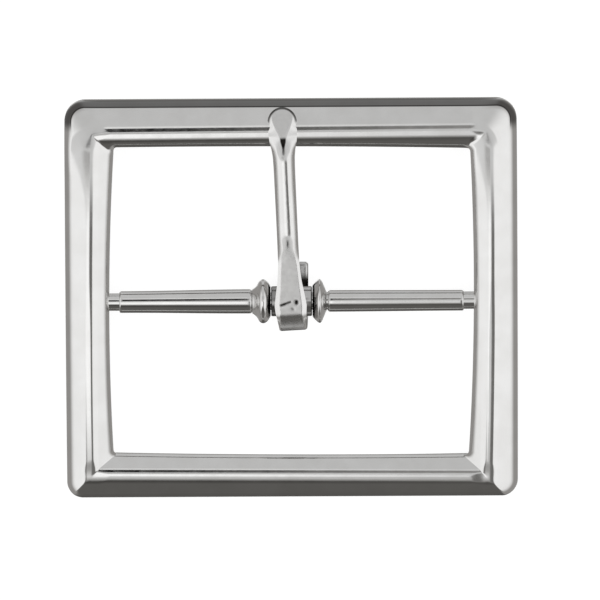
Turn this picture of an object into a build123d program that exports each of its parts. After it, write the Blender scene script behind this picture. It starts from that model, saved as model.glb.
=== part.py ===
"""Centre-bar belt buckle, in millimetres.

The buckle lies on its back: X runs along the bar, Y along the strap, and +Z out of the front face.
The origin is on the resting plane, under the middle of the frame's outline.

A cast frame carries a round axle across its opening. The axle's ends lie in keyhole seats cut into the
backs of the side rails. Two plain spacer tubes, two collars and a hub sleeve are pressed onto the axle,
and the tongue's wrapped end swings on the hub sleeve.
"""

import os
from math import asin, atan2, cos, degrees, radians, sin, sqrt, tan

from build123d import *

# ---------------------------------------------------------------- driving dimensions
STRAP_OPENING = 39.0  # clear width for a 38 mm strap, at the bar
FRAME_WIDTH = 48.2
FRAME_HEIGHT = 42.6
CORNER_RADIUS = 2.0
INNER_CORNER_RADIUS = 0.5

OPENING_HEIGHT = 33.1  # at the middle of the end rails
OPENING_SHIFT = -0.17  # the opening and the bar sit this far below the outline's middle
SIDE_BOW = 0.45  # how much nearer the side rails' inner edges stand at the corners
END_BOW = 0.2

SIDE_CROWN_X = 21.42  # crown lines, measured from the outline's middle
END_CROWN_Y = 18.6
CROWN_SHIFT = -0.52  # the end rails' crown lines and the arch sit this far below the outline's middle
END_CROWN_Z = 3.85
ARCH_RISE = 1.25  # the side rails rise this much from the end rails to the bar
CROWN_RADIUS = 2.0
SIDE_SLOPES = (26.0, 29.0)  # outer and inner facets, in degrees from the horizontal
END_SLOPES = (32.0, 26.0)
OUTER_ROUND = 0.3

BAR_Z = 3.0
AXLE_RADIUS = 0.925
AXLE_SEAT_DEPTH = 2.4
SEAT_MOUTH = 1.5  # the seat's opening to the back, closed in behind the axle by staking
STAKE_RADIUS = 0.3
STAKE_DEPTH = 0.25

LEFT_TUBE_RADIUS = 1.22
RIGHT_TUBE_RADIUS = 1.12
LEFT_TUBE_START = 4.2  # the tubes' inner ends, from the middle of the bar
RIGHT_TUBE_START = 3.85
TUBE_END = 18.35
TUBE_ROUND = 0.15

COLLAR_RADIUS = 2.33
COLLAR_X = 3.02  # the crown of each collar
COLLAR_FACE_X = 2.5  # the face towards the hub
COLLAR_FACE_RADIUS = 1.75

HUB_RADIUS = 1.6
HUB_LENGTH = 4.34

LOOP_INNER = 1.75
STRIP = 1.15  # thickness of the tongue's flattened end
LOOP_OUTER = LOOP_INNER + STRIP
TONGUE_REACH = 20.75  # from the bar to the tip
TONGUE_LEAN = 2.35  # degrees, the loose tongue's lean about Z
TONGUE_OFFSET = -0.1
TAIL_REACH = 3.95
TAIL_OFFSET = 0.4
TAIL_WIDTH = 2.8
REST_GAP = 0.15  # between the resting tongue and the end rail

# ---------------------------------------------------------------- derived
BAR_Y = OPENING_SHIFT
HALF_WIDTH = FRAME_WIDTH / 2
HALF_HEIGHT = FRAME_HEIGHT / 2
ARCH_RADIUS = (END_CROWN_Y**2 + ARCH_RISE**2) / (2 * ARCH_RISE)
SIDE_CROWN_Z = END_CROWN_Z + ARCH_RISE
ARCH_CENTRE_Z = SIDE_CROWN_Z - ARCH_RADIUS
BACK_MEETS_Y = OPENING_HEIGHT / 2 - END_BOW + CROWN_SHIFT  # from the arch's middle to the flat pads
SIDE_BACK_Z = ARCH_CENTRE_Z + sqrt(ARCH_CENTRE_Z**2 + BACK_MEETS_Y**2)
ARCH_LEAN = degrees(asin(END_CROWN_Y / ARCH_RADIUS))  # the crown's slope where it meets the ends
ARCH_ANGLE = degrees(atan2(HALF_HEIGHT + 1.0, -ARCH_CENTRE_Z))
TALL = 12.0  # above everything
BAR_PLANE = Plane(origin=(0, BAR_Y, BAR_Z), x_dir=(1, 0, 0), z_dir=(0, -1, 0))
SIDE_VIEW = Plane(origin=(0, BAR_Y, BAR_Z), x_dir=(0, 1, 0), z_dir=(1, 0, 0))

os.makedirs("parts", exist_ok=True)


def finish(part, label):
    """Names a finished piece and writes it to its own file."""
    part.label = label
    export_step(part, f"parts/{label}.step")
    print(label, len(part.solids()), "solid(s),", round(part.volume, 2), "mm3")


# ---------------------------------------------------------------- frame
INSIDE = 1.0  # the rails start this far inside the opening, which is cut afterwards


def crown_arc(crown, crown_z, slope, lean):
    """Centre of a crown's round, and the point where it runs into a facet of the given slope."""
    centre_x = crown - CROWN_RADIUS * sin(radians(lean))
    centre_z = crown_z - CROWN_RADIUS * cos(radians(lean))
    bend_x = centre_x + CROWN_RADIUS * sin(radians(slope))
    return (centre_x, centre_z), (bend_x, centre_z + CROWN_RADIUS * cos(radians(slope)))


def rail_outline(crown, crown_z, opening_half, half, back_z, slopes, lean=0):
    """Edges of a rail's section whose inner facet and half of its crown are shaped."""
    start = opening_half - INSIDE
    centre, bend = crown_arc(crown, crown_z, -slopes[1], lean)
    start_z = bend[1] - (bend[0] - start) * tan(radians(slopes[1]))
    with BuildLine(Plane.XY) as wire:
        Polyline((start, back_z), (start, start_z), bend)
        CenterArc(centre, CROWN_RADIUS, 90 - lean, slopes[1] + lean)
        Polyline((crown, crown_z), (half, crown_z), (half, back_z), (start, back_z))
    return wire.line.edges()


def waste_outline(crown, crown_z, half, slopes, lean=0):
    """Edges of what lies above a rail's outer facet and the other half of its crown."""
    centre, bend = crown_arc(crown, crown_z, slopes[0], lean)
    beyond = half + 2
    beyond_z = bend[1] - (beyond - bend[0]) * tan(radians(slopes[0]))
    with BuildLine(Plane.XY) as wire:
        CenterArc(centre, CROWN_RADIUS, 90 - lean, lean - slopes[0])
        Polyline(bend, (beyond, beyond_z), (beyond, TALL), (crown, TALL), (crown, crown_z))
    return wire.line.edges()


SIDE_OUTLINE = rail_outline(
    SIDE_CROWN_X, SIDE_CROWN_Z, STRAP_OPENING / 2, HALF_WIDTH, SIDE_BACK_Z, SIDE_SLOPES
)
SIDE_WASTE = waste_outline(SIDE_CROWN_X, SIDE_CROWN_Z, HALF_WIDTH, SIDE_SLOPES)
END_OUTLINES = []
END_WASTES = []
for side in (1, -1):
    crown_y = END_CROWN_Y + side * CROWN_SHIFT
    edge_y = OPENING_HEIGHT / 2 + side * OPENING_SHIFT
    END_OUTLINES.append(
        rail_outline(crown_y, END_CROWN_Z, edge_y, HALF_HEIGHT, 0, END_SLOPES, ARCH_LEAN)
    )
    END_WASTES.append(waste_outline(crown_y, END_CROWN_Z, HALF_HEIGHT, END_SLOPES, ARCH_LEAN))
UPPER_SIDE = Plane.YZ
LOWER_SIDE = Plane(origin=(0, 0, 0), x_dir=(0, -1, 0), z_dir=(-1, 0, 0))
MIDDLE_AXIS = Axis((0, CROWN_SHIFT, 0), (0, 0, 1))
ARCH_MIDDLE = Plane((0, CROWN_SHIFT, 0), x_dir=(1, 0, 0), z_dir=(0, -1, 0))
ARCH_AXIS = Axis((0, CROWN_SHIFT, ARCH_CENTRE_Z), (1, 0, 0))

with BuildPart() as side_rail:
    for arc in (ARCH_ANGLE, -ARCH_ANGLE):
        with BuildSketch(ARCH_MIDDLE):
            make_face(SIDE_OUTLINE)
        revolve(axis=ARCH_AXIS, revolution_arc=arc)

with BuildPart() as side_waste:
    for arc in (ARCH_ANGLE, -ARCH_ANGLE):
        with BuildSketch(ARCH_MIDDLE):
            make_face(SIDE_WASTE)
        revolve(axis=ARCH_AXIS, revolution_arc=arc)

with BuildPart() as seat:
    # keyhole seat for one end of the axle, open to the back of the right side rail
    seat_start = STRAP_OPENING / 2 - 1
    seat_plane = Plane(origin=(seat_start, BAR_Y, BAR_Z), x_dir=(0, 1, 0), z_dir=(1, 0, 0))
    with BuildSketch(seat_plane):
        Circle(AXLE_RADIUS)
        with Locations((0, -BAR_Z / 2)):
            Rectangle(SEAT_MOUTH, BAR_Z)
    extrude(amount=AXLE_SEAT_DEPTH + 1)
    # two punch marks beside the mouth, which closed it
    stake_y = SEAT_MOUTH / 2 + STAKE_RADIUS + 0.15
    stake_z = SIDE_BACK_Z + STAKE_DEPTH / 2 - 0.02
    with Locations(Plane(origin=(STRAP_OPENING / 2 + AXLE_SEAT_DEPTH / 2, BAR_Y, stake_z))):
        with Locations((0, stake_y), (0, -stake_y)):
            Cone(bottom_radius=STAKE_RADIUS, top_radius=0.1, height=STAKE_DEPTH + 0.04)

with BuildPart() as frame:
    for turn in (0, 180):
        add(side_rail.part.rotate(MIDDLE_AXIS, turn))
    for end_plane, end_outline in zip((UPPER_SIDE, LOWER_SIDE), END_OUTLINES):
        with BuildSketch(end_plane):
            make_face(end_outline)
        extrude(amount=HALF_WIDTH, both=True)

    for turn in (0, 180):
        add(side_waste.part.rotate(MIDDLE_AXIS, turn), mode=Mode.SUBTRACT)
    for end_plane, end_waste in zip((UPPER_SIDE, LOWER_SIDE), END_WASTES):
        with BuildSketch(end_plane):
            make_face(end_waste)
        extrude(amount=HALF_WIDTH + 1, both=True, mode=Mode.SUBTRACT)

    with BuildSketch() as outline:
        RectangleRounded(FRAME_WIDTH, FRAME_HEIGHT, CORNER_RADIUS)
    extrude(amount=TALL, mode=Mode.INTERSECT)
    rim = []
    for wall in frame.faces():
        middle = wall.center()
        outside = abs(middle.X) > SIDE_CROWN_X or abs(middle.Y) > END_CROWN_Y
        if outside and abs(wall.normal_at(middle).Z) < 0.01:
            for edge in wall.edges():
                if edge.center().Z > middle.Z and abs(edge.tangent_at(0.5).Z) < 0.7:
                    rim.append(edge)
    fillet(rim, OUTER_ROUND)

    with BuildSketch() as opening:
        corner_x = STRAP_OPENING / 2 - SIDE_BOW
        corner_y = OPENING_HEIGHT / 2 - END_BOW
        with BuildLine():
            with Locations((0, OPENING_SHIFT)):
                for turn in (1, -1):
                    ThreePointArc(
                        (turn * corner_x, -corner_y),
                        (turn * STRAP_OPENING / 2, 0),
                        (turn * corner_x, corner_y),
                    )
                    ThreePointArc(
                        (-corner_x, turn * corner_y),
                        (0, turn * OPENING_HEIGHT / 2),
                        (corner_x, turn * corner_y),
                    )
        make_face()
        fillet(opening.vertices(), INNER_CORNER_RADIUS)
    extrude(amount=TALL, mode=Mode.SUBTRACT)

    for turn in (0, 180):
        add(seat.part.rotate(Axis((0, BAR_Y, 0), (0, 0, 1)), turn), mode=Mode.SUBTRACT)
finish(frame.part, "frame")


# ---------------------------------------------------------------- bar
with BuildPart() as axle_rod:
    axle_length = STRAP_OPENING + 2 * AXLE_SEAT_DEPTH - 0.1
    with BuildSketch(SIDE_VIEW):
        Circle(AXLE_RADIUS)
    extrude(amount=axle_length / 2, both=True)
    chamfer(axle_rod.edges().filter_by(GeomType.CIRCLE), 0.2)
finish(axle_rod.part, "axle_rod")


def spacer_tube(side, start, radius, label):
    """A plain sleeve pressed onto the axle, between a collar and a side rail."""
    with BuildPart() as tube:
        with BuildSketch(SIDE_VIEW.offset(side * (start + TUBE_END) / 2)):
            Circle(radius)
            Circle(AXLE_RADIUS, mode=Mode.SUBTRACT)
        extrude(amount=(TUBE_END - start) / 2, both=True)
        rims = tube.edges().filter_by(GeomType.CIRCLE).sort_by(SortBy.RADIUS)[-2:]
        fillet(rims, TUBE_ROUND)
    finish(tube.part, label)


def collar(side, skirt_radius, skirt_end, label):
    """A turned ring with a rounded crown and a flared skirt towards its spacer tube."""
    with BuildPart() as ring:
        with BuildSketch(BAR_PLANE) as section:
            with BuildLine():
                Polyline(
                    (skirt_end, skirt_radius),
                    (skirt_end, AXLE_RADIUS),
                    (COLLAR_FACE_X, AXLE_RADIUS),
                    (COLLAR_FACE_X, COLLAR_FACE_RADIUS),
                )
                Spline(
                    (COLLAR_FACE_X, COLLAR_FACE_RADIUS),
                    (COLLAR_X, COLLAR_RADIUS),
                    (skirt_end, skirt_radius),
                    tangents=((0, 1), (1, 0), (0.5, -1)),
                )
            make_face()
            if side < 0:
                mirror(about=Plane.YZ, mode=Mode.REPLACE)
        revolve(axis=Axis((0, BAR_Y, BAR_Z), (1, 0, 0)))
    finish(ring.part, label)


spacer_tube(-1, LEFT_TUBE_START, LEFT_TUBE_RADIUS, "left_spacer_tube")
spacer_tube(1, RIGHT_TUBE_START, RIGHT_TUBE_RADIUS, "right_spacer_tube")
collar(-1, 1.2, LEFT_TUBE_START, "left_collar")
collar(1, 1.0, RIGHT_TUBE_START - 0.1, "right_collar")

with BuildPart() as hub_sleeve:
    with BuildSketch(SIDE_VIEW):
        Circle(HUB_RADIUS)
        Circle(AXLE_RADIUS, mode=Mode.SUBTRACT)
    extrude(amount=HUB_LENGTH / 2, both=True)
    hub_rims = hub_sleeve.edges().filter_by(GeomType.CIRCLE).sort_by(SortBy.RADIUS)[-2:]
    chamfer(hub_rims, 0.12)
finish(hub_sleeve.part, "hub_sleeve")


# ---------------------------------------------------------------- tongue
CROWN_AWAY = END_CROWN_Y + CROWN_SHIFT - BAR_Y  # the upper rail's crown, seen from the bar
CROWN_UP = END_CROWN_Z - BAR_Z
TIP_DROP = (TONGUE_REACH - CROWN_AWAY) * tan(radians(END_SLOPES[0])) - 0.3
TIP_Z = CROWN_UP + REST_GAP - TIP_DROP
HALF_WIDTHS = (  # of the tongue seen from the front, from its base to its tip
    (-LOOP_OUTER, 1.4),
    (-2.2, 1.52),
    (0, 1.73),
    (2.24, 1.23),
    (4.5, 1.06),
    (7.8, 1.03),
    (14.5, 1.12),
    (16.1, 1.23),
    (17.2, 1.46),
    (19.2, 1.59),
)


def tongue_axes(offset, lean):
    """A plane across the bar, turned and set over with the loose tongue."""
    return Plane((offset, BAR_Y, 0)).rotated((0, 0, lean))


TONGUE_PLAN = tongue_axes(TONGUE_OFFSET, TONGUE_LEAN)
TONGUE_SIDE = Plane(
    origin=TONGUE_PLAN.origin + Vector(0, 0, BAR_Z), x_dir=TONGUE_PLAN.y_dir, z_dir=TONGUE_PLAN.x_dir
)

with BuildPart() as prong:
    # side view: the wrap's front and back, and the prong out to the tip
    with BuildSketch(TONGUE_SIDE):
        with BuildLine():
            Spline(
                (0, LOOP_OUTER),
                (6.0, LOOP_OUTER - 0.05),
                (13.0, LOOP_OUTER - 0.45),
                (CROWN_AWAY, CROWN_UP + 1.05),
                (TONGUE_REACH, TIP_Z + 0.45),
                tangents=((1, 0), (0.4, -1)),
            )
            Line((TONGUE_REACH, TIP_Z + 0.45), (TONGUE_REACH - 0.1, TIP_Z))
            Spline(
                (TONGUE_REACH - 0.1, TIP_Z),
                (CROWN_AWAY, CROWN_UP + REST_GAP),
                (13.0, LOOP_INNER - 0.55),
                (6.0, LOOP_INNER - 0.15),
                (0, LOOP_INNER),
                tangents=((-1, tan(radians(END_SLOPES[0]))), (-1, 0)),
            )
            CenterArc((0, 0), LOOP_INNER, 90, 180)
            Line((0, -LOOP_INNER), (0, -LOOP_OUTER))
            CenterArc((0, 0), LOOP_OUTER, 270, -180)
        make_face()
    extrude(amount=5, both=True)
    # front view: spoon tip, slim prong and flattened wrap
    with BuildSketch(TONGUE_PLAN):
        for side in (-1, 1):
            end_y, end_x = HALF_WIDTHS[0]
            with BuildLine():
                shoulder_y, shoulder_x = HALF_WIDTHS[-1]
                ThreePointArc(
                    (0, TONGUE_REACH),
                    (side * shoulder_x * 0.72, shoulder_y + 0.69 * (TONGUE_REACH - shoulder_y)),
                    (side * shoulder_x, shoulder_y),
                )
                Spline(
                    [(side * x, y) for y, x in reversed(HALF_WIDTHS)],
                    tangents=((0, -1), (side * -0.15, -1)),
                )
                base_y = end_y - 0.2
                Polyline(
                    (side * end_x, end_y), (side * end_x, base_y), (0, base_y), (0, TONGUE_REACH)
                )
            make_face()
    extrude(amount=TALL, mode=Mode.INTERSECT)

with BuildPart() as tail:
    # side view: the end of the wrap, up behind the prong
    with BuildSketch(TONGUE_SIDE):
        with BuildLine():
            CenterArc((0, 0), LOOP_OUTER, 225, 45)
            Polyline(
                (0, -LOOP_OUTER),
                (TAIL_REACH, -LOOP_OUTER + 0.15),
                (TAIL_REACH, -LOOP_OUTER + 0.95),
                (0, -LOOP_INNER),
            )
            CenterArc((0, 0), LOOP_INNER, 270, -45)
            PolarLine((-LOOP_INNER * sin(radians(45)), -LOOP_INNER * cos(radians(45))), STRIP, 225)
        make_face()
    extrude(amount=5, both=True)
    with BuildSketch(tongue_axes(TAIL_OFFSET, 0)):
        with Locations((0, (TAIL_REACH - LOOP_OUTER) / 2)):
            RectangleRounded(TAIL_WIDTH, TAIL_REACH + LOOP_OUTER, 0.3)
    extrude(amount=TALL, mode=Mode.INTERSECT)

with BuildPart() as tongue:
    add(prong.part)
    add(tail.part)
finish(tongue.part, "tongue")
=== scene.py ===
"""Looks of the centre-bar belt buckle: polished plating, soft studio light and the camera.

Shapes are worked out in millimetres and turned into metres when a mesh is made.
"""

import math

import bmesh
import bpy
import numpy as np
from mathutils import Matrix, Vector


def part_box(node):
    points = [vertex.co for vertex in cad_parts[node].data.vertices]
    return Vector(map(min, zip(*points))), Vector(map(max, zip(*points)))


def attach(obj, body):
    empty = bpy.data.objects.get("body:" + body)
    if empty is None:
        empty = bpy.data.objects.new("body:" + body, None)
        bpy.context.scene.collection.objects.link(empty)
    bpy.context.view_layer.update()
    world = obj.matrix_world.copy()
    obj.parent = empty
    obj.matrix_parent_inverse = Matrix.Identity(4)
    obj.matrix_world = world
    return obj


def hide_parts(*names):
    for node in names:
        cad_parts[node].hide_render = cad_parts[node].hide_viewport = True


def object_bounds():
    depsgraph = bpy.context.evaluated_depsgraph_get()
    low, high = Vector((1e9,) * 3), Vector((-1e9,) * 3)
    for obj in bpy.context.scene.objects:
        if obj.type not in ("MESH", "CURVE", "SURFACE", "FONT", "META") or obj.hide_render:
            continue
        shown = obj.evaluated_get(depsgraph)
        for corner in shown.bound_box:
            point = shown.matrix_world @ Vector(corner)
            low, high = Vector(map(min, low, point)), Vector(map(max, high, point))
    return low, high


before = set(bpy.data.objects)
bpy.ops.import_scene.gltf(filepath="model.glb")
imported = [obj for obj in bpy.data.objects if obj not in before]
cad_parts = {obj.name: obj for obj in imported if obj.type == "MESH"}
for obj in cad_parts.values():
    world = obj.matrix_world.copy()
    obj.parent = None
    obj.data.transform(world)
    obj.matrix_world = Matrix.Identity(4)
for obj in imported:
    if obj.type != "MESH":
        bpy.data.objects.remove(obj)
cad_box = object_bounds()
MM = 0.001


def box_mm(node):
    low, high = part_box(node)
    return np.array(low) / MM, np.array(high) / MM


AXLE_LOW, AXLE_HIGH = box_mm("axle_rod")
HALF_X, HALF_Y, SIDE_CROWN_Z = box_mm("frame")[1]
BAR_Y, BAR_Z = (AXLE_LOW + AXLE_HIGH)[1:] / 2
AXLE_RADIUS = (AXLE_HIGH - AXLE_LOW)[2] / 2


# ---------------------------------------------------------------- mesh tools
def smoothstep(x, low, high):
    t = np.clip((np.asarray(x, float) - low) / (high - low), 0, 1)
    return t * t * (3 - 2 * t)


def smooth_max(a, b, k):
    near = np.clip(k - np.abs(a - b), 0, None) / k
    return np.maximum(a, b) + near * near * k / 4


def smooth_min(a, b, k):
    return -smooth_max(-a, -b, k)


def curve_through(points, count):
    """Catmull-Rom curve through 2-D points, evenly spread over the points."""
    p = np.array(points, float)
    p = np.vstack([2 * p[0] - p[1], p, 2 * p[-1] - p[-2]])
    t = np.linspace(0, len(points) - 1, count)
    i = np.minimum(t.astype(int), len(points) - 2)
    f = (t - i)[:, None]
    a, b, c, d = p[i], p[i + 1], p[i + 2], p[i + 3]
    return 0.5 * (2 * b + (c - a) * f + (2 * a - 5 * b + 4 * c - d) * f**2 + (3 * b - a - 3 * c + d) * f**3)


def rounded(corners, steps=5):
    """A closed outline from (x, y, round) corners, each cut back and rounded."""
    out = []
    for i, (x, y, r) in enumerate(corners):
        p = np.array([x, y])
        if r == 0:
            out.append(p)
            continue
        ends = []
        for j in (i - 1, (i + 1) % len(corners)):
            q = np.array(corners[j][:2]) - p
            ends.append(p + q / np.linalg.norm(q) * r)
        for t in np.linspace(0, 1, steps + 1):
            out.append((1 - t) ** 2 * ends[0] + 2 * t * (1 - t) * p + t**2 * ends[1])
    return np.array(out)


def rings_mesh(name, rings, closed=False):
    """A mesh through closed rings of points in millimetres, capped at its ends unless it is closed."""
    rings = np.asarray(rings, float)
    n, m = rings.shape[:2]
    verts = rings.reshape(-1, 3)
    faces = []
    for i in range(n if closed else n - 1):
        a, b = i * m, (i + 1) % n * m
        for j in range(m):
            k = (j + 1) % m
            faces.append((a + j, a + k, b + k, b + j))
    if not closed:
        verts = np.vstack([verts, rings[0].mean(0), rings[-1].mean(0)])
        for j in range(m):
            k = (j + 1) % m
            faces.append((k, j, n * m))
            faces.append(((n - 1) * m + j, (n - 1) * m + k, n * m + 1))
    mesh = bpy.data.meshes.new(name)
    mesh.from_pydata((verts * MM).tolist(), [], faces)
    bm = bmesh.new()
    bm.from_mesh(mesh)
    bmesh.ops.recalc_face_normals(bm, faces=bm.faces)
    if bm.calc_volume(signed=True) < 0:
        bmesh.ops.reverse_faces(bm, faces=bm.faces)
    bm.to_mesh(mesh)
    bm.free()
    mesh.shade_smooth()
    obj = bpy.data.objects.new(name, mesh)
    bpy.context.scene.collection.objects.link(obj)
    return obj


def paint(obj, name, values):
    """Gives the mesh a number at each point, for its material."""
    layer = obj.data.attributes.new(name, "FLOAT", "POINT")
    full = np.zeros(len(obj.data.vertices), np.float32)
    full[: len(values)] = values
    layer.data.foreach_set("value", full)


def lathe(name, section, segments=96, closed=True):
    """Turns a section of (x, radius) points round the bar's axis."""
    section = np.asarray(section, float)
    turn = np.linspace(0, 2 * math.pi, segments, endpoint=False)
    rings = np.empty((segments, len(section), 3))
    for i, t in enumerate(turn):
        rings[i, :, 0] = section[:, 0]
        rings[i, :, 1] = BAR_Y + section[:, 1] * math.sin(t)
        rings[i, :, 2] = BAR_Z + section[:, 1] * math.cos(t)
    if closed:
        return rings_mesh(name, rings, closed=True)
    return rings_mesh(name, rings.transpose(1, 0, 2))


# ---------------------------------------------------------------- frame
OPENING_X = 19.42  # half the clear width at the bar
OPENING_Y = 16.55  # half the clear height in the middle
SIDE_BOW = 0.45  # how far the opening's sides bow outwards
END_BOW = 0.15
INNER_CORNER = 0.3
TOP_CORNER = 2.2
BOTTOM_CORNER = 1.75
FINISH_TURN = -0.45  # degrees, the crowns and the opening are a little turned within the outline

SIDE_CROWN_X = 21.42
SIDE_CROWN_BOW = 0.15
SIDE_CROWN_SHIFT = -0.18  # both side crown lines sit this far to the left
END_CROWN_Y = 18.6
CROWN_SHIFT = -0.52  # both end crown lines sit this far down
CROWN_TURN = 0.013  # the upper crown line climbs a little to the right
END_CROWN_Z = 3.85
CROWN_TURNING = 2.0  # radius of the crown line round the corners
SIDE_CROWN_RADIUS = 2.0
END_CROWN_RADII = (2.0, 2.3)  # lower, upper
SIDE_SLOPES = (26.0, 29.0)  # outer, inner facet, before the arch leans them
END_SLOPES = (24.3, 34.7)
ARCH_RISE = SIDE_CROWN_Z - END_CROWN_Z
ARCH_RADIUS = (END_CROWN_Y**2 + ARCH_RISE**2) / (2 * ARCH_RISE)
ARCH_CENTRE_Z = SIDE_CROWN_Z - ARCH_RADIUS
BACK_MEETS_Y = OPENING_Y - END_BOW + CROWN_SHIFT  # where the arched back comes down to the table
BACK_RADIUS = math.sqrt(ARCH_CENTRE_Z**2 + BACK_MEETS_Y**2)

OUTER_ROUND = 0.8
TOP_ROUND = 1.1
INNER_ROUND = 0.6
BACK_ROUND = 0.18
INNER_DRAFT = 0.3  # the opening is this much wider at the back

# the upper corners were polished softer, the left one outside and the right one inside
SOFTENED_Y = (9.5, 17.0)
SOFTER_OUTSIDE = 4.5
SOFTER_INSIDE = 2.5
# how softly the facets run into each other at a corner
HIP_ROUND = 0.06
VALLEY_ROUND = 0.02
UPPER_VALLEY_ROUND = 0.27
CORNER_POINT_ROUND = 0.2

# columns of points round each corner and along each side of the frame
CORNER_COLUMNS = 26
SIDE_COLUMNS = 170


def crown_drop(away, slope, radius):
    """How far a rail has fallen at a distance from its crown line: round, then a facet."""
    slope = np.radians(slope)
    on_round = np.clip(away, 0, radius * np.sin(slope))
    past = np.clip(away - radius * np.sin(slope), 0, None)
    return radius - np.sqrt(radius**2 - on_round**2) + past * np.tan(slope)


def turned_by(x, y, degrees):
    c, s = math.cos(math.radians(degrees)), math.sin(math.radians(degrees))
    return x * c - y * s, x * s + y * c


def fanned_drop(side_away, end_away, side_radius, end_radius):
    """The outer facets' drop where they turn a corner in one sweep round the crown line."""
    past_x = np.clip(side_away + CROWN_TURNING, 0, None)
    past_y = np.clip(end_away + CROWN_TURNING, 0, None)
    turning = (past_x > 0) & (past_y > 0)
    round_corner = np.hypot(past_x, past_y) - CROWN_TURNING
    away = np.where(turning, round_corner, np.maximum(side_away, end_away))
    share = past_y**2 / (past_x**2 + past_y**2 + 1e-9)
    slope = SIDE_SLOPES[0] + (END_SLOPES[0] - SIDE_SLOPES[0]) * share
    return crown_drop(away, slope, side_radius + (end_radius - side_radius) * share)


def mitred_drop(side_away, end_away, side_radius, end_radius):
    """The outer facets' drop where they meet at a corner in a crisp mitre."""
    side = crown_drop(side_away, SIDE_SLOPES[0], side_radius)
    end = crown_drop(end_away, END_SLOPES[0], end_radius)
    return smooth_max(side, end, HIP_ROUND)


def front_height(x, y):
    """The frame's front face before its edges are rounded."""
    x, y = turned_by(x, y, -FINISH_TURN)
    y = y - CROWN_SHIFT
    upper = smoothstep(y, -4, 4)
    left = smoothstep(x, 1, -1)
    side_away = np.abs(x - SIDE_CROWN_SHIFT) - SIDE_CROWN_X + SIDE_CROWN_BOW * (y / END_CROWN_Y) ** 2
    end_away = np.abs(y) - END_CROWN_Y - CROWN_TURN * x * upper
    soft = smoothstep(y, *SOFTENED_Y)
    outer_radius = SIDE_CROWN_RADIUS + SOFTER_OUTSIDE * soft * left
    inner_radius = SIDE_CROWN_RADIUS + SOFTER_INSIDE * soft * (1 - left)
    end_radius = END_CROWN_RADII[0] + (END_CROWN_RADII[1] - END_CROWN_RADII[0]) * upper

    # the inner facets meet in valleys, the outer ones in hips: mitred below, fanned above
    at_corner = smoothstep(side_away, -2.2, -0.4) * smoothstep(end_away, -2.2, -0.4)
    side_in = -crown_drop(-side_away, SIDE_SLOPES[1], inner_radius)
    end_in = -crown_drop(-end_away, END_SLOPES[1], end_radius)
    softer_valley = (UPPER_VALLEY_ROUND - VALLEY_ROUND) * upper * (1 - at_corner)
    valleys = smooth_max(side_in, end_in, VALLEY_ROUND + softer_valley)
    mitred = mitred_drop(side_away, end_away, outer_radius, end_radius)
    fanned = fanned_drop(side_away, end_away, outer_radius, end_radius)
    hips = -(mitred + (fanned - mitred) * upper)
    height = SIDE_CROWN_Z + smooth_min(valleys, hips, 0.002 + CORNER_POINT_ROUND * at_corner)
    return ARCH_CENTRE_Z + np.sqrt((height - ARCH_CENTRE_Z) ** 2 - y**2)


def rounded_box_distance(x, y, half_x, half_y, r):
    """Signed distance from a rounded rectangle, positive outside."""
    qx, qy = np.abs(x) - half_x + r, np.abs(y) - half_y + r
    outside = np.hypot(np.clip(qx, 0, None), np.clip(qy, 0, None))
    return outside + np.minimum(np.maximum(qx, qy), 0) - r


def opening_half(x, y):
    """Half-width and half-height of the bowed opening beside a point."""
    half_x = OPENING_X - SIDE_BOW * np.clip((y - BAR_Y) / (OPENING_Y - END_BOW), -1, 1) ** 2
    half_y = OPENING_Y - END_BOW * np.clip(x / (OPENING_X - SIDE_BOW), -1, 1) ** 2
    return half_x, half_y


def edge_drop(distance, r):
    """How far a rounded edge has fallen at a distance inside it."""
    d = np.clip(distance, 0, r)
    return r - np.sqrt(np.clip(r * r - (r - d) ** 2, 0, None))


def frame_columns():
    """Pairs of points on the outline and the opening, once round the frame."""
    outer, inner = [], []
    corner_x, corner_y = OPENING_X - SIDE_BOW, OPENING_Y - END_BOW
    turning_x, turning_y = corner_x - INNER_CORNER, corner_y - INNER_CORNER
    for quarter, (sx, sy) in enumerate([(1, 1), (-1, 1), (-1, -1), (1, -1)]):
        r = TOP_CORNER if sy > 0 else BOTTOM_CORNER
        # the corner's own columns
        for t in np.linspace(0, math.pi / 2, CORNER_COLUMNS):
            c, s = (math.cos(t), math.sin(t)) if sx * sy > 0 else (math.sin(t), math.cos(t))
            outer.append((sx * (HALF_X - r + r * c), sy * (HALF_Y - r + r * s)))
            x_in = sx * (turning_x + INNER_CORNER * c)
            y_in = BAR_Y + sy * (turning_y + INNER_CORNER * s)
            inner.append((x_in, y_in))
        # the side that follows it, with its columns closer together towards its ends
        for t in np.linspace(-1, 1, SIDE_COLUMNS + 2)[1:-1]:
            t = (3 * t - t**3) / 2
            if quarter % 2 == 0:  # top, then bottom
                x_in = -sx * t * turning_x
                y_in = BAR_Y + sy * opening_half(x_in, BAR_Y)[1]
                outer.append((-sx * t * (HALF_X - r), sy * HALF_Y))
            else:  # left, then right: the corner radii differ
                y_start = sy * (HALF_Y - r)
                r_end = TOP_CORNER if sy < 0 else BOTTOM_CORNER
                y_end = -sy * (HALF_Y - r_end)
                y_in = BAR_Y - sy * t * turning_y
                x_in = sx * opening_half(0, y_in)[0]
                outer.append((sx * HALF_X, y_start + (y_end - y_start) * (t + 1) / 2))
            inner.append((x_in, y_in))
    inner = np.array(inner)
    return np.array(outer), np.column_stack(turned_by(inner[:, 0], inner[:, 1], FINISH_TURN))


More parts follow.
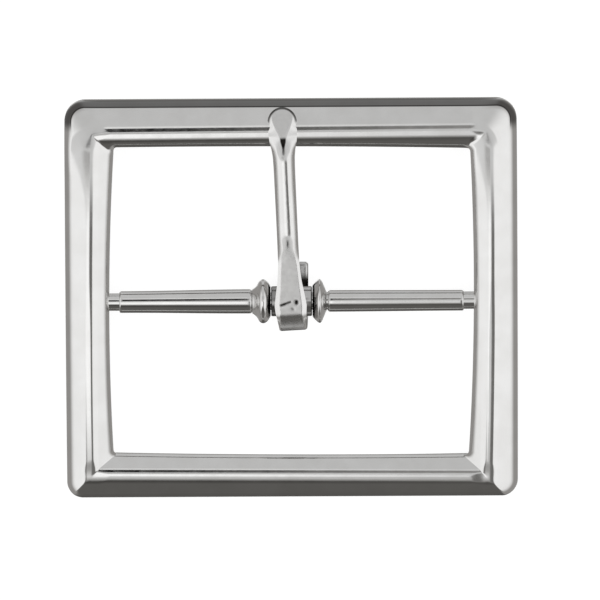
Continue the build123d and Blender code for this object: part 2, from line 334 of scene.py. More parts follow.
def rail_widths(outer, inner):
    """The rail's width at each column: along the column at a corner, else straight across."""
    apart = np.abs(outer - inner)
    on_side = np.abs(outer[:, 0]) > HALF_X - 0.001
    on_end = np.abs(outer[:, 1]) > HALF_Y - 0.001
    at_corner = np.linalg.norm(outer - inner, axis=1)
    return np.where(on_side, apart[:, 0], np.where(on_end, apart[:, 1], at_corner))


def face_shares(widths):
    """Where each column's points lie, as shares of the way from the outline to the opening."""
    edge_turn = np.linspace(0, math.pi / 2, 9)
    run_out = TOP_ROUND * (1 - np.cos(edge_turn))
    run_in = INNER_ROUND * (1 - np.cos(edge_turn))
    shares = []
    for width in widths:
        middle = np.linspace(run_out[-1] / width, 1 - run_in[-1] / width, 46)[1:-1]
        shares.append(np.concatenate([run_out / width, middle, 1 - run_in[::-1] / width]))
    return np.array(shares)


def front_face(outer, inner):
    """Points over the front, from the outline to the opening, in each column."""
    shares = face_shares(rail_widths(outer, inner))
    x = outer[:, :1] * (1 - shares) + inner[:, :1] * shares
    y = outer[:, 1:] * (1 - shares) + inner[:, 1:] * shares
    corner_r = np.where(y > 0, TOP_CORNER, BOTTOM_CORNER)
    from_outline = -rounded_box_distance(x, y, HALF_X, HALF_Y, corner_r)
    turned_x, turned_y = turned_by(x, y, -FINISH_TURN)
    half_x, half_y = opening_half(turned_x, turned_y)
    from_opening = rounded_box_distance(turned_x, turned_y - BAR_Y, half_x, half_y, INNER_CORNER)
    outer_round = OUTER_ROUND + (TOP_ROUND - OUTER_ROUND) * smoothstep(y, HALF_Y - 4, HALF_Y - 1)
    edges = edge_drop(from_outline, outer_round), edge_drop(from_opening, INNER_ROUND)
    return np.stack([x, y, front_height(x, y) - edges[0] - edges[1]], axis=2)


def back_height(y):
    """The frame's back: arched in the middle, flat on the table under the end rails."""
    arch = ARCH_CENTRE_Z + np.sqrt(BACK_RADIUS**2 - (y - CROWN_SHIFT) ** 2)
    return smooth_max(arch, np.zeros_like(arch), 0.06)


def walls_and_back(outer, inner, front):
    """Points down the opening's wall, across the back and up the outer wall, in each column."""
    across = (inner - outer) / np.linalg.norm(outer - inner, axis=1)[:, None]
    back_inner = inner - across * INNER_DRAFT
    turns = np.linspace(0, math.pi / 2, 5)

    def back_edge(edge, inwards, t):
        point = edge + inwards * BACK_ROUND * (1 - math.cos(t))
        return np.column_stack([point, back_height(point[:, 1]) + BACK_ROUND * (1 - math.sin(t))])

    rows = []
    for share in (0.25, 0.5, 0.75):
        point = inner - across * INNER_DRAFT * share
        height = front[:, -1, 2] * (1 - share) + (back_height(point[:, 1]) + BACK_ROUND) * share
        rows.append(np.column_stack([point, height]))
    rows += [back_edge(back_inner, -across, t) for t in turns]
    start, end = back_inner - across * BACK_ROUND, outer + across * BACK_ROUND
    for share in np.linspace(0, 1, 16)[1:-1]:
        point = start * (1 - share) + end * share
        rows.append(np.column_stack([point, back_height(point[:, 1])]))
    rows += [back_edge(outer, across, t) for t in turns[::-1]]
    low = back_height(outer[:, 1]) + BACK_ROUND
    for share in (0.3, 0.65):
        rows.append(np.column_stack([outer, low * (1 - share) + front[:, 0, 2] * share]))
    return np.stack(rows, axis=1)


def make_frame():
    outer, inner = frame_columns()
    front = front_face(outer, inner)
    rings = np.concatenate([front, walls_and_back(outer, inner, front)], axis=1)
    return rings_mesh("polished_frame", rings, closed=True)


def cut(obj, cutter):
    """Takes the cutter's volume out of obj's mesh."""
    modifier = obj.modifiers.new("cut", "BOOLEAN")
    modifier.object = cutter
    modifier.operation = "DIFFERENCE"
    modifier.solver = "EXACT"
    graph = bpy.context.evaluated_depsgraph_get()
    mesh = bpy.data.meshes.new_from_object(obj.evaluated_get(graph))
    obj.modifiers.clear()
    old = obj.data
    obj.data = mesh
    bpy.data.meshes.remove(old)
    bpy.data.objects.remove(cutter)


SEAT_REACH = 2.4  # from the opening into the side rail
SEAT_MOUTH = 1.5
STAKE_AWAY = 1.2
# height over the back and radius, from the punch mark's mouth to its bottom
STAKE = [(-0.1, 0.42), (0.0, 0.34), (0.16, 0.22), (0.24, 0.1)]


def seat_cutter(side):
    """Keyhole seat for one end of the axle, open to the back of the side rail."""
    half_mouth = math.asin(SEAT_MOUTH / 2 / AXLE_RADIUS)
    turns = np.linspace(-math.pi / 2 + half_mouth, 1.5 * math.pi - half_mouth, 40)
    outline = [(AXLE_RADIUS * math.cos(t), BAR_Z + AXLE_RADIUS * math.sin(t)) for t in turns]
    outline += [(-SEAT_MOUTH / 2, -0.5), (SEAT_MOUTH / 2, -0.5)]
    rings = []
    for x in (OPENING_X - 1, OPENING_X + SEAT_REACH):
        rings.append([(side * x, BAR_Y + u, z) for u, z in outline])
    return rings_mesh("cutter", rings)


def stake_cutter(side, up):
    """Punch mark beside a seat's mouth, a little longer across the rail than along it."""
    x, y = side * (OPENING_X + SEAT_REACH / 2), BAR_Y + up
    back_z = back_height(y)
    turns = np.arange(20) * math.pi / 10
    rings = []
    for z, r in STAKE:
        rings.append([(x + r * math.cos(t), y + 0.8 * r * math.sin(t), back_z + z) for t in turns])
    return rings_mesh("cutter", rings)


polished_frame = make_frame()
for side in (-1, 1):
    cut(polished_frame, seat_cutter(side))
    for up in (-STAKE_AWAY, STAKE_AWAY):
        cut(polished_frame, stake_cutter(side, up))
polished_frame.data.set_sharp_from_angle(angle=math.radians(40))


# ---------------------------------------------------------------- bar
BORE_RADIUS = AXLE_RADIUS + 0.005
AXLE_END_RADIUS = 0.6
TUBE_SHOULDER = 0.3  # length of the rolled shoulder at the collar
TUBE_SHOULDER_DROP = 0.22
TUBE_RIM = 0.2  # length of the rolled rim at the frame
TUBE_RIM_DROP = 0.16
HUB_ROUND = 0.14
HUB_SWELL = 0.02
HUB_SWELL_ROUND = 0.3


def make_axle():
    end = AXLE_HIGH[0]
    section = [(-end, AXLE_END_RADIUS), (-end + 0.2, AXLE_RADIUS - 0.02)]
    section += [(x, AXLE_RADIUS) for x in np.linspace(-end + 0.35, end - 0.35, 41)]
    section += [(end - 0.2, AXLE_RADIUS - 0.02), (end, AXLE_END_RADIUS)]
    return lathe("axle", section, 64, closed=False)


def make_tube(side, node, radii):
    """A drawn sleeve with rolled shoulders, a little fuller at the collar."""
    low, high = box_mm(node)
    near, far = sorted((abs(low[0]), abs(high[0])))
    r_near, r_far = radii
    length = far - near
    outside = []
    for t in np.linspace(0, math.pi / 2, 9):
        x = near + TUBE_SHOULDER * (1 - math.cos(t))
        outside.append((x, r_near - TUBE_SHOULDER_DROP * (1 - math.sin(t))))
    for f in np.linspace(0, 1, 60)[1:-1]:
        x = near + TUBE_SHOULDER + f * (length - TUBE_SHOULDER - TUBE_RIM)
        outside.append((x, r_near + (r_far - r_near) * float(smoothstep(f, 0, 1))))
    for t in np.linspace(0, math.pi / 2, 7):
        x = far - TUBE_RIM * (1 - math.sin(t))
        outside.append((x, r_far - TUBE_RIM_DROP * (1 - math.cos(t))))
    section = np.array(outside + [(far, BORE_RADIUS), (near, BORE_RADIUS)]) * (side, 1)
    return lathe(("left" if side < 0 else "right") + "_tube", section)


def make_collar(side, outline):
    """A turned bead; the outline of (x, radius) points runs from its face to its skirt's end."""
    curve = curve_through(outline, 44)
    bore = [(outline[-1][0], BORE_RADIUS), (outline[0][0], BORE_RADIUS)]
    section = np.vstack([curve, bore]) * (side, 1)
    return lathe(("left" if side < 0 else "right") + "_bead", section, 128)


def make_hub():
    """The plain drum that the tongue is wrapped round."""
    low, high = box_mm("hub_sleeve")
    half, radius = high[0], (high - low)[2] / 2
    corners = [
        (-half, BORE_RADIUS, 0),
        (-half, radius, HUB_ROUND),
        (-half / 2, radius + HUB_SWELL, HUB_SWELL_ROUND),
        (half / 2, radius + HUB_SWELL, HUB_SWELL_ROUND),
        (half, radius, HUB_ROUND),
        (half, BORE_RADIUS, 0),
    ]
    obj = lathe("hub", rounded(corners))
    obj.data.set_sharp_from_angle(angle=math.radians(50))
    return obj


axle = make_axle()
left_tube = make_tube(-1, "left_spacer_tube", (1.29, 1.15))
right_tube = make_tube(1, "right_spacer_tube", (1.15, 1.1))
left_bead = make_collar(
    -1,
    [
        (2.24, 1.2),
        (2.24, 1.55),
        (2.36, 1.78),
        (2.5, 2.02),
        (2.7, 2.22),
        (2.95, 2.33),
        (3.2, 2.31),
        (3.4, 2.17),
        (3.55, 1.94),
        (3.66, 1.72),
        (3.92, 1.46),
        (4.2, 1.27),
    ],
)
right_bead = make_collar(
    1,
    [
        (2.24, 1.2),
        (2.24, 1.6),
        (2.4, 1.85),
        (2.62, 2.08),
        (2.84, 2.27),
        (3.03, 2.33),
        (3.2, 2.18),
        (3.36, 1.83),
        (3.52, 1.45),
        (3.66, 1.12),
        (3.74, 1.0),
    ],
)
hub = make_hub()


# ---------------------------------------------------------------- tongue
REACH = 20.75  # from the bar to the spoon's tip
TIP_Y = 19.2  # where the spoon's round end begins
TIP_HALF = 1.56
PRONG_FROM = 5.5  # the stations are closer together from here to the bar
LOOP_INNER = 1.75
LEAN = 2.35  # degrees, the prong leans a little to the left
WRAP_LEAN = 2.2  # and its wrap a little more
PRONG_OFFSET = -0.1
TAIL_OFFSET = 0.4
TAIL_REACH = 3.95
TAIL_HALF = 1.4
WALLS_DULL_AND_SHADE = 0.3  # how dulled the sides and the underside are, and how darkened by painted shade
# tool marks on the wrap's face: start, end, half-width and depth, across the tongue and along it
MARKS = [((-1.02, -0.12), (-0.55, 0.02), 0.1, 0.07), ((-0.55, 0.02), (-0.02, 0.2), 0.09, 0.05)]
MARKS += [((0.62, 0.16), (0.62, 0.1), 0.16, 0.13), ((0.15, -0.55), (0.25, -0.6), 0.14, 0.03)]

# distance from the bar, then height above it, of the prong's front and of its underside
FRONT = [(0, 2.9), (2.5, 2.9), (5.0, 2.88), (6.0, 2.74), (7.0, 2.52), (9, 2.42), (13, 2.3), (15.4, 2.2)]
FRONT += [(16.2, 2.07), (16.9, 1.88), (17.6, 1.6), (18.2, 1.3), (19.3, 0.75), (20.2, 0.3), (20.75, 0.02)]
UNDER = [(0, 1.75), (3, 1.72), (6, 1.62), (9, 1.4), (13, 1.12), (16, 1.0), (17.3, 0.99), (18.2, 0.82)]
UNDER += [(18.9, 0.46), (19.6, 0.04), (20.3, -0.4), (20.75, -0.62)]
# half-widths of the prong
WIDTHS = [(0, 1.68), (1.2, 1.5), (2.3, 1.3), (3.5, 1.18), (4.5, 1.13), (6, 1.12), (8, 1.12), (12, 1.13)]
WIDTHS += [(14.5, 1.14), (15.6, 1.17), (16.4, 1.27), (17.2, 1.45), (18.2, 1.54), (19.2, 1.55)]
# half-widths of the prong's flat: the wrap's face, then none, then the spoon's face
FLATS = [(0, 1.2), (2, 1.0), (4, 0.84), (5.2, 0.7), (6.2, 0.3), (7, 0.12), (16.9, 0.08), (17.6, 0.2)]
FLATS += [(18.2, 0.45), (18.9, 0.85), (19.5, 1.08), (20.2, 1.2)]
# how much of the section is bevelled flat rather than half-round
BEVELLED = [(0, 1), (4.6, 1), (6.6, 0.0), (16.2, 0.0), (17.5, 1), (20.75, 1)]
# the wrap's outside round the bar, from its front to its back
WRAP = [(0, 2.9), (-0.6, 2.9), (-1.2, 2.86), (-1.65, 2.6), (-2.3, 2.0), (-2.78, 1.45), (-3.02, 1.05)]
WRAP += [(-3.05, 0.3), (-2.98, -0.8), (-2.6, -1.75), (-1.9, -2.42), (-1.0, -2.8), (0, -2.9)]


def table_value(table, at):
    return np.interp(at, [p[0] for p in table], [p[1] for p in table])


def smooth_table(table, at, spread=0.25):
    """The table's value, with its corners smoothed out."""
    shifts = np.linspace(-spread, spread, 9)
    weights = 1 - (np.abs(shifts) / spread / 1.2) ** 2
    return sum(w * table_value(table, at + s) for w, s in zip(weights, shifts)) / weights.sum()


def dent(x, y, start, end, width, depth):
    """Depth of a tool mark along a line from start to end."""
    a, b = np.array(start), np.array(end)
    d = b - a
    t = np.clip(((x - a[0]) * d[0] + (y - a[1]) * d[1]) / max(d @ d, 1e-9), 0, 1)
    away = np.hypot(x - a[0] - t * d[0], y - a[1] - t * d[1])
    return depth * np.exp(-((away / width) ** 2))


# A station is a cut across the strip: its outer point, inner point, half-width, the flat's
# half-width, bevelled share, lean, sideways offset and distance along.
def prong_stations():
    tip_turn = np.linspace(0, math.pi / 2, 22)[1:]
    tip_y = TIP_Y + (REACH - TIP_Y) * np.cos(tip_turn)
    shank_y = np.linspace(TIP_Y, PRONG_FROM, 170)[1:]
    fold_y = np.linspace(PRONG_FROM, 0, 96)[1:]
    stations = []
    for y in np.concatenate([tip_y, shank_y, fold_y]):
        w = float(smooth_table(WIDTHS, y)) if y < 19 else TIP_HALF
        flat = min(float(smooth_table(FLATS, y)), w - 0.3)
        if y > TIP_Y:
            round_off = math.sqrt(max(1 - ((y - TIP_Y) / (REACH - TIP_Y)) ** 2, 0.0004))
            w, flat = w * round_off, flat * round_off
        if 0.6 < y < 20:
            front, under = float(smooth_table(FRONT, y, 0.5)), float(smooth_table(UNDER, y, 0.5))
        else:
            front, under = float(table_value(FRONT, y)), float(table_value(UNDER, y))
        share = float(smooth_table(BEVELLED, y, 0.5))
        stations.append(((y, front), (y, under), w, flat, share, LEAN, PRONG_OFFSET, y))
    return stations


def wrap_stations():
    points = curve_through(WRAP, 90)[1:]
    stations = []
    for i, (y, z) in enumerate(points):
        f = (i + 1) / len(points)
        turn = math.pi / 2 + math.pi * f
        angle = math.atan2(z, y) % (2 * math.pi)
        turn = turn * 0.25 + angle * 0.75 if f < 1 else turn
        inner = (LOOP_INNER * math.cos(turn), LOOP_INNER * math.sin(turn))
        w = 1.7 - 0.25 * float(smoothstep(f, 0.0, 0.45)) - 0.05 * float(smoothstep(f, 0.5, 1))
        flat = w - 0.5 + 0.3 * float(smoothstep(f, 0.15, 0.4))
        ease = float(smoothstep(f, 0.3, 1))
        lean = LEAN + WRAP_LEAN * float(smoothstep(f, 0.05, 0.35)) * (1 - ease)
        offset = PRONG_OFFSET + (TAIL_OFFSET - PRONG_OFFSET) * ease
        stations.append(((y, z), inner, w, flat, 1.0, lean * (1 - ease), offset, y))
    return stations


def tail_stations():
    stations = []
    for f in np.linspace(0, 1, 24)[1:]:
        y = f * TAIL_REACH
        w = TAIL_HALF - 0.28 * (1 - math.sqrt(1 - max((f - 0.93) / 0.07, 0) ** 2 * 0.96))
        outer = (y, -2.9 + 0.12 * f + 0.15 * float(smoothstep(f, 0.9, 1)))
        inner = (y, -1.75 - 0.2 * f - 0.12 * float(smoothstep(f, 0.92, 1)))
        stations.append((outer, inner, w, w - 0.2, 1.0, 0.0, TAIL_OFFSET, y))
    return stations


def front_shape(s, w, flat, share, thick):
    """How far out the front stands across a station, between half-round and flat with bevels."""
    half_round = 1 - 0.93 * (1 - np.sqrt(1 - (0.975 * np.abs(s) ** 1.2) ** 2))
    ramp = np.clip((np.abs(s * w) - flat) / max(w - flat, 0.05), 0, 1)
    soft = 0.12
    ramp = np.where(ramp < soft, ramp**2 / (2 * soft), ramp - soft / 2)
    bevel_drop = min(0.5, 0.54 * (w - flat), 0.82 * thick) / thick
    return half_round * (1 - share) + (1 - ramp * bevel_drop) * share


def crease(u, along, wobble, thick):
    """The wavering line drawn down the middle of the prong, as a share of its thickness."""
    there = smoothstep(along, 6.0, 6.8) * (1 - smoothstep(along, 16.6, 17.2))
    return 0.004 * wobble * there / thick * np.exp(-(((u - 0.03 * wobble) / 0.2) ** 2))


def spoon_painted_shade(u, along):
    """Painted shade in the hollow below the spoon's face and a painted shadow line round the spoon's rim.
    """
    hollow = smoothstep(along, 16.2, 16.8) * (1 - smoothstep(along, 17.45, 17.75))
    half = 0.1 + 0.16 * smoothstep(along, 16.5, 17.4)
    hollow = hollow * (1 - smoothstep(np.abs(u), half, half + 0.08))
    from_middle = np.hypot(u, max(along - TIP_Y, 0)) / (REACH - TIP_Y)
    rim = smoothstep(from_middle, 0.84, 0.91) * smoothstep(along, 18.9, 19.4)
    return np.maximum(hollow, 0.85 * rim)


def make_tongue():
    prong, wrap, tail = prong_stations(), wrap_stations(), tail_stations()
    stations = prong + wrap + tail
    s = np.linspace(-1, 1, 41)
    s = np.sign(s) * np.abs(s) ** 1.25  # closer together towards the middle
    rng = np.random.default_rng(7)
    wobble = np.convolve(rng.normal(size=len(stations)), np.hanning(9) / 4.5, "same")
    rings, matte, painted_shade = [], [], []
    for i, (outer, inner, w, flat, share, lean, offset, along) in enumerate(stations):
        outer, inner = np.array(outer), np.array(inner)
        thick = np.linalg.norm(outer - inner)
        u = s * w
        k = front_shape(s, w, flat, share, thick)
        # painted shade across the front of this station
        shade_mask = np.zeros_like(u)
        on_face = 1 - smoothstep(np.abs(u), flat - 0.08, flat + 0.1)
        if i < len(prong):
            k = k - crease(u, along, wobble[i], thick)
            shade_mask = spoon_painted_shade(u, along)
            worked = smoothstep(along, 17.0, 17.8) + 1 - smoothstep(along, 5.0, 6.3)
            face_matte = on_face * worked
        else:
            face_matte = on_face * (1 if along > -1.3 and outer[1] > 0 else 0.4)
        if -60 < i - len(prong) < 40:  # either side of the fold
            marks = np.max([dent(u, along, *mark) for mark in MARKS], axis=0)
            k = k - marks / thick
            # the tool marks are darkened by their depth: painted shade in them
            shade_mask = np.maximum(shade_mask, np.clip(marks / 0.05, 0, 1))
        on_tail = i >= len(prong) + len(wrap)
        # painted shade on the tail's sides and underside, darkest next to the bar
        shade_under_bar = 0.25 + 0.75 * (1 - float(smoothstep(along, 2.0, 3.0)))

        # once round the section: front, right side, underside, left side
        edge = k[-1]
        right = [(w, edge * 0.66), (w * 0.995, edge * 0.33), (w * 0.96, 0.09), (w * 0.88, 0.015)]
        under = [(w * f, 0.0) for f in (0.7, 0.35, 0, -0.35, -0.7)]
        left = [(-a, b) for a, b in right[::-1]]
        others = right + under + left
        matte += [*face_matte, *[WALLS_DULL_AND_SHADE] * len(others)]
        # painted shade per point: the spoon's and the marks' on the front, the walls' on the sides and
        # underside
        painted_shade += [*shade_mask, *[shade_under_bar if on_tail else WALLS_DULL_AND_SHADE] * len(others)]
        ring = []
        cos, sin = math.cos(math.radians(lean)), math.sin(math.radians(lean))
        for uu, kk in [*zip(u, k), *others]:
            y, z = inner + (outer - inner) * kk
            ring.append((offset + uu * cos - y * sin, BAR_Y + uu * sin + y * cos, BAR_Z + z))
        rings.append(ring)
    obj = rings_mesh("tongue_prong", rings)
    paint(obj, "matte", matte)
    paint(obj, "painted_shade", painted_shade)
    return obj


prong = make_tongue()
prong.data.set_sharp_from_angle(angle=math.radians(50))


# ---------------------------------------------------------------- node tools
def link(tree, a, b):
    tree.links.new(a, b)


def calc(tree, operation, *values):
    """The result of a maths node on sockets or numbers."""
    node = tree.nodes.new("ShaderNodeMath")
    node.operation = operation
    for i, value in enumerate(values):
        if isinstance(value, (int, float)):
            node.inputs[i].default_value = value
        else:
            link(tree, value, node.inputs[i])
    return node.outputs[0]


def rise(tree, value, low, high):
    """0 below low, 1 above high, smooth between."""
    node = tree.nodes.new("ShaderNodeMapRange")
    node.interpolation_type = "SMOOTHSTEP"
    node.inputs["From Min"].default_value = low
    node.inputs["From Max"].default_value = high
    link(tree, value, node.inputs["Value"])
    return node.outputs["Result"]


def between(tree, value, low, high, soft):
    """1 between low and high, 0 outside, smooth over soft to each side of both."""
    up = rise(tree, value, low - soft, low + soft)
    down = rise(tree, value, high + soft, high - soft)
    return calc(tree, "MULTIPLY", up, down)


def tones(tree, angle, stops):
    """Light levels over an angle in degrees."""
    node = tree.nodes.new("ShaderNodeValToRGB")
    scaled = calc(tree, "MULTIPLY_ADD", angle, 1 / 360, 0.5)
    link(tree, scaled, node.inputs["Fac"])
    for i, (at, level) in enumerate(stops):
        position = at / 360 + 0.5
        element = node.color_ramp.elements[i] if i < 2 else node.color_ramp.elements.new(position)
        element.position = position
        warm = 0.04 * max(0.0, 1 - level / 0.6)
        element.color = (level * (1 + warm), level, level * (1 - 1.6 * warm), 1)
    return node.outputs["Color"]


def blend(tree, share, first, second):
    """A mix of two colours, each a socket or three numbers: the first at share 0."""
    node = tree.nodes.new("ShaderNodeMix")
    node.data_type = "RGBA"
    link(tree, share, node.inputs["Factor"])
    for socket, value in ((node.inputs[6], first), (node.inputs[7], second)):
        if isinstance(value, tuple):
            socket.default_value = (*value, 1)
        else:
            link(tree, value, socket)
    return node.outputs[2]


# ---------------------------------------------------------------- materials
def plating(name, tint, rough, grain, waviness, dull_and_shade=None):
    """Bright plating over a polished casting, with faint polishing lines and waviness.

    The last argument, if given, adds (dulled share, painted shade share) sockets made by the piece's own
    function.
    """
    material = bpy.data.materials.new(name)
    material.use_nodes = True
    tree = material.node_tree
    bsdf = tree.nodes["Principled BSDF"]
    bsdf.inputs["Metallic"].default_value = 1.0
    place = tree.nodes.new("ShaderNodeTexCoord")

    def noise(scale, detail, stretch=(1, 1, 1)):
        mapping = tree.nodes.new("ShaderNodeMapping")
        mapping.inputs["Scale"].default_value = stretch
        link(tree, place.outputs["Object"], mapping.inputs["Vector"])
        node = tree.nodes.new("ShaderNodeTexNoise")
        node.inputs["Scale"].default_value = scale
        node.inputs["Detail"].default_value = detail
        link(tree, mapping.outputs["Vector"], node.inputs["Vector"])
        return node.outputs["Fac"]

    def spread(source, low, high, to_low, to_high):
        node = tree.nodes.new("ShaderNodeMapRange")
        node.inputs["From Min"].default_value = low
        node.inputs["From Max"].default_value = high
        node.inputs["To Min"].default_value = to_low
        node.inputs["To Max"].default_value = to_high
        link(tree, source, node.inputs["Value"])
        return node.outputs["Result"]

    low, high = tint
    colour = blend(tree, spread(noise(420, 3), 0.3, 0.7, 0, 1), low, high)
    roughness = spread(noise(1500, 4), 0.3, 0.75, *rough)
    height = noise(5000, 2, (0.25, 1, 1))
    if dull_and_shade:
        dulled, shade_share = dull_and_shade(tree, place)
        mottle = spread(noise(2600, 3), 0.3, 0.7, 0.55, 1.0)
        dull_share = calc(tree, "MULTIPLY", mottle, dulled)
        roughness = calc(tree, "MULTIPLY_ADD", dull_share, 0.3, roughness)
        colour = blend(tree, calc(tree, "MULTIPLY", dull_share, 0.32), colour, DULLED)
        # painted shade: this share darkens the colour towards near-black
        colour = blend(tree, shade_share, colour, SHADE_COLOUR)
    link(tree, colour, bsdf.inputs["Base Color"])
    link(tree, roughness, bsdf.inputs["Roughness"])
    fine = tree.nodes.new("ShaderNodeBump")
    fine.inputs["Strength"].default_value = 1.0
    fine.inputs["Distance"].default_value = grain * MM
    link(tree, height, fine.inputs["Height"])
    wavy = tree.nodes.new("ShaderNodeBump")
    wavy.inputs["Strength"].default_value = 1.0
    wavy.inputs["Distance"].default_value = waviness * MM
    link(tree, noise(260, 1), wavy.inputs["Height"])
    link(tree, fine.outputs["Normal"], wavy.inputs["Normal"])
    link(tree, wavy.outputs["Normal"], bsdf.inputs["Normal"])
    return material


def painted(tree, _place):
    """Dulled and painted shade shares read from the mesh's own numbers."""
    sockets = []
    for name in ("matte", "painted_shade"):
        node = tree.nodes.new("ShaderNodeAttribute")
        node.attribute_name = name
        sockets.append(node.outputs["Fac"])
    return sockets


def rail_edge_painted_reflection(tree, place):
    """A painted dark reflection: a near-black band and line on the rolled outer edge of the upper rail and
    round its corners.
    """
    split = tree.nodes.new("ShaderNodeSeparateXYZ")
    link(tree, place.outputs["Object"], split.inputs[0])
    from_middle = calc(tree, "ABSOLUTE", split.outputs[0])
    away_x = calc(tree, "SUBTRACT", from_middle, (HALF_X - TOP_CORNER) * MM)
    away_y = calc(tree, "SUBTRACT", split.outputs[1], (HALF_Y - TOP_CORNER) * MM)
    over_x, over_y = calc(tree, "MAXIMUM", away_x, 0.0), calc(tree, "MAXIMUM", away_y, 0.0)
    squares = calc(tree, "MULTIPLY_ADD", over_x, over_x, calc(tree, "MULTIPLY", over_y, over_y))
    reach = calc(tree, "SQRT", squares)
    edge = TOP_CORNER * MM
    band = rise(tree, reach, edge - 0.74 * MM, edge - 0.66 * MM)
    line = between(tree, reach, edge - 0.76 * MM, edge - 0.6 * MM, 0.05 * MM)
    band, line = calc(tree, "MULTIPLY", band, 0.76), calc(tree, "MULTIPLY", line, 0.95)
    shade_mask = calc(tree, "MAXIMUM", band, line)
    upper = rise(tree, split.outputs[1], (HALF_Y - 3.4) * MM, (HALF_Y - 2.2) * MM)
    above = rise(tree, split.outputs[2], 0.6 * MM, 1.6 * MM)
    return 0.0, calc(tree, "MULTIPLY", calc(tree, "MULTIPLY", shade_mask, upper), above)


def hub_painted_shade(tree, place):
    """Painted shade in the grooves between the hub and the collars, and on the hub itself, which is also
    dulled.
    """
    split = tree.nodes.new("ShaderNodeSeparateXYZ")
    link(tree, place.outputs["Object"], split.inputs[0])
    away = calc(tree, "ABSOLUTE", split.outputs[0])
    groove = between(tree, away, 2.05 * MM, 2.46 * MM, 0.05 * MM)
    # the hub's painted shade and dulling, heavier on its left side
    dull_and_shade = calc(tree, "MULTIPLY_ADD", rise(tree, split.outputs[0], 0.4 * MM, -0.4 * MM), 0.35, 0.2)
    inside = calc(tree, "MULTIPLY", rise(tree, away, 2.3 * MM, 2.2 * MM), dull_and_shade)
    return inside, calc(tree, "MAXIMUM", groove, inside)


BRIGHT = ((0.74, 0.735, 0.725), (0.79, 0.787, 0.78))
DULLED = (0.55, 0.545, 0.535)
# near-black used for painted shade
SHADE_COLOUR = (0.02, 0.018, 0.016)
frame_plating = plating("frame_plating", BRIGHT, (0.07, 0.12), 0.0006, 0.006, rail_edge_painted_reflection)
bar_plating = plating("bar_plating", BRIGHT, (0.07, 0.13), 0.0006, 0.002)
collar_plating = plating("collar_plating", BRIGHT, (0.06, 0.1), 0.0004, 0.001, hub_painted_shade)
tongue_plating = plating("tongue_plating", BRIGHT, (0.1, 0.16), 0.0006, 0.004, painted)


def place_piece(obj, body, slot, material, *nodes):
    obj.data.materials.clear()
    obj.data.materials.append(material)
    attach(obj, body)
    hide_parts(*nodes)


place_piece(polished_frame, "buckle", "frame_plating", frame_plating, "frame")
place_piece(axle, "buckle", "bar_plating", bar_plating, "axle_rod")
place_piece(left_tube, "buckle", "bar_plating", bar_plating, "left_spacer_tube")
place_piece(right_tube, "buckle", "bar_plating", bar_plating, "right_spacer_tube")
place_piece(left_bead, "buckle", "collar_plating", collar_plating, "left_collar")
place_piece(right_bead, "buckle", "collar_plating", collar_plating, "right_collar")
place_piece(hub, "buckle", "collar_plating", collar_plating, "hub_sleeve")
place_piece(prong, "tongue_arm", "tongue_plating", tongue_plating, "tongue")


# ---------------------------------------------------------------- studio
# Each list holds (angle, light level) pairs. In these two, for the light over the middle and over
# the right of the buckle, the angle goes from straight above towards the upper rail.
CENTRE_TONES = [(-180, 0.09), (-60, 0.12), (-42, 0.07), (-33, 0.07), (-25, 0.45), (-17, 1.2), (2, 1.2)]
CENTRE_TONES += [(7, 0.45), (10, 0.5), (12.5, 0.85), (15.5, 0.0), (32, 0.0), (35, 0.95), (39, 0.95)]
CENTRE_TONES += [(44, 0.64), (125, 0.62), (145, 0.3), (180, 0.3)]
RIGHT_TONES = [(-180, 0.09), (-60, 0.12), (-42, 0.1), (-36, 0.1), (-27, 0.4), (-18, 0.72), (12, 0.68)]
RIGHT_TONES += [(19, 0.35), (30, 0.35), (34, 0.72), (39, 0.72), (44, 0.62), (125, 0.62)]
RIGHT_TONES += [(145, 0.3), (180, 0.3)]
# round the sides, over the turn from straight across towards the upper rail
LEFT_TONES = [(-90, 0.12), (-52, 0.13), (-43, 1.0), (-36, 1.06), (6, 1.06), (11, 0.78), (40, 0.72)]
LEFT_TONES += [(60, 0.64), (90, 0.62)]
FAR_TONES = [(-90, 0.12), (-57, 0.13), (-46, 0.9), (-36, 1.06), (16, 1.06), (26, 0.78), (60, 0.64)]
FAR_TONES += [(90, 0.62)]
SIDE_LIGHT = (1.06, 1.06, 1.06)
SIDE_LIGHT_ROUND = (0.64, 0.64, 0.64)  # where it has turned towards the upper rail
HORIZON = (0.34, 0.33, 0.32)
DARK_STRIP = (0.18, 0.176, 0.17)


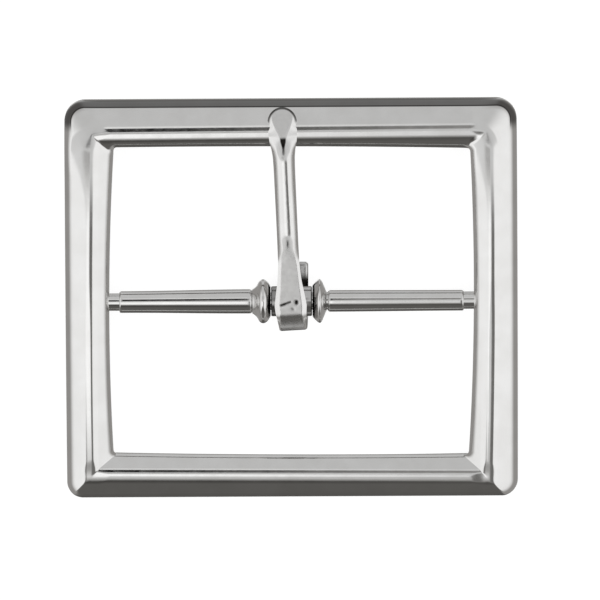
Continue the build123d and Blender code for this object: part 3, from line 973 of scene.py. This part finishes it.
def make_world():
    world = bpy.data.worlds.new("studio")
    bpy.context.scene.world = world
    world.use_nodes = True
    tree = world.node_tree
    background = tree.nodes["Background"]
    place = tree.nodes.new("ShaderNodeTexCoord")
    split = tree.nodes.new("ShaderNodeSeparateXYZ")
    link(tree, place.outputs["Generated"], split.inputs[0])
    dx, dy, dz = split.outputs
    away = calc(tree, "ABSOLUTE", dx)
    along = calc(tree, "DEGREES", calc(tree, "ARCTAN2", dy, dz))
    across = calc(tree, "DEGREES", calc(tree, "ARCTAN2", dx, calc(tree, "ABSOLUTE", dz)))
    turn = calc(tree, "DEGREES", calc(tree, "ARCTAN2", dy, away))

    centre = tones(tree, along, CENTRE_TONES)
    right = tones(tree, along, RIGHT_TONES)
    front = blend(tree, rise(tree, across, -0.5, 1.2), centre, right)

    to_left, to_right = tones(tree, turn, LEFT_TONES), tones(tree, turn, FAR_TONES)
    sides = blend(tree, rise(tree, dx, -0.05, 0.05), to_left, to_right)
    # lower down the side lights reach further round, then they fade towards the horizon
    wide = blend(tree, rise(tree, turn, 40, 62), SIDE_LIGHT, SIDE_LIGHT_ROUND)
    lower = calc(tree, "MULTIPLY", rise(tree, dz, 0.68, 0.56), rise(tree, turn, 4, 9))
    sides = blend(tree, lower, sides, wide)
    low_side = blend(tree, rise(tree, dz, 0.62, -0.12), sides, HORIZON)
    sides = blend(tree, rise(tree, away, 0.12, 0.4), sides, low_side)

    # the front tones reach less far across towards the upper rail
    narrowed = calc(tree, "MULTIPLY_ADD", rise(tree, along, 8, 18), 1.6, 1.0)
    round_by = calc(tree, "MULTIPLY", calc(tree, "ABSOLUTE", across), narrowed)
    light = blend(tree, rise(tree, round_by, 9, 20), front, sides)
    over_across, over_along = between(tree, across, 3.5, 21, 2), between(tree, along, -32, 4, 3)
    light = blend(tree, calc(tree, "MULTIPLY", over_across, over_along), light, DARK_STRIP)
    rays = tree.nodes.new("ShaderNodeLightPath")
    light = blend(tree, rays.outputs["Is Camera Ray"], light, (1.0, 1.0, 1.0))
    link(tree, light, background.inputs["Color"])


make_world()


FLOOR_HALF = 2.0  # metres
FLOOR_GAP = 0.00002
FLOOR_GREY = 0.3
FLOOR_GLOW = 0.88


def make_floor():
    mesh = bpy.data.meshes.new("floor")
    corners = [(x * FLOOR_HALF, y * FLOOR_HALF, 0) for x, y in ((-1, -1), (1, -1), (1, 1), (-1, 1))]
    mesh.from_pydata(corners, [], [(0, 1, 2, 3)])
    obj = bpy.data.objects.new("floor", mesh)
    obj.location.z = -FLOOR_GAP
    bpy.context.scene.collection.objects.link(obj)
    material = bpy.data.materials.new("pale_floor")
    material.use_nodes = True
    bsdf = material.node_tree.nodes["Principled BSDF"]
    bsdf.inputs["Base Color"].default_value = (FLOOR_GREY, FLOOR_GREY, FLOOR_GREY, 1)
    bsdf.inputs["Roughness"].default_value = 1.0
    bsdf.inputs["Specular IOR Level"].default_value = 0.0
    bsdf.inputs["Emission Color"].default_value = (1, 1, 1, 1)
    bsdf.inputs["Emission Strength"].default_value = FLOOR_GLOW
    mesh.materials.append(material)
    obj.visible_glossy = False


make_floor()


# ---------------------------------------------------------------- camera
TILT = 6.2  # degrees towards the upper rail
ROLL = -0.32
DISTANCE = 1000.0
SENSOR_WIDTH = 36.0
VIEW_WIDTH = 63.97  # millimetres across the picture at the aimed point
AIM = (0.9, -0.06)  # from the middle of the buckle


def make_camera():
    low, high = cad_box
    middle = (low + high) / 2
    aim = middle + Vector((AIM[0], AIM[1], 0)) * MM
    tilt = math.radians(TILT)
    camera_data = bpy.data.cameras.new("camera")
    camera_data.sensor_width = SENSOR_WIDTH
    camera_data.lens = SENSOR_WIDTH * DISTANCE / VIEW_WIDTH
    camera_data.clip_start, camera_data.clip_end = 0.01, 20.0
    camera = bpy.data.objects.new("camera", camera_data)
    bpy.context.scene.collection.objects.link(camera)
    camera.location = aim + Vector((0, math.sin(tilt), math.cos(tilt))) * DISTANCE * MM
    camera.rotation_euler = (-tilt, 0, 0)
    camera.rotation_euler.rotate_axis("Z", math.radians(ROLL))
    bpy.context.scene.camera = camera


make_camera()
bpy.context.scene.view_settings.view_transform = "Standard"
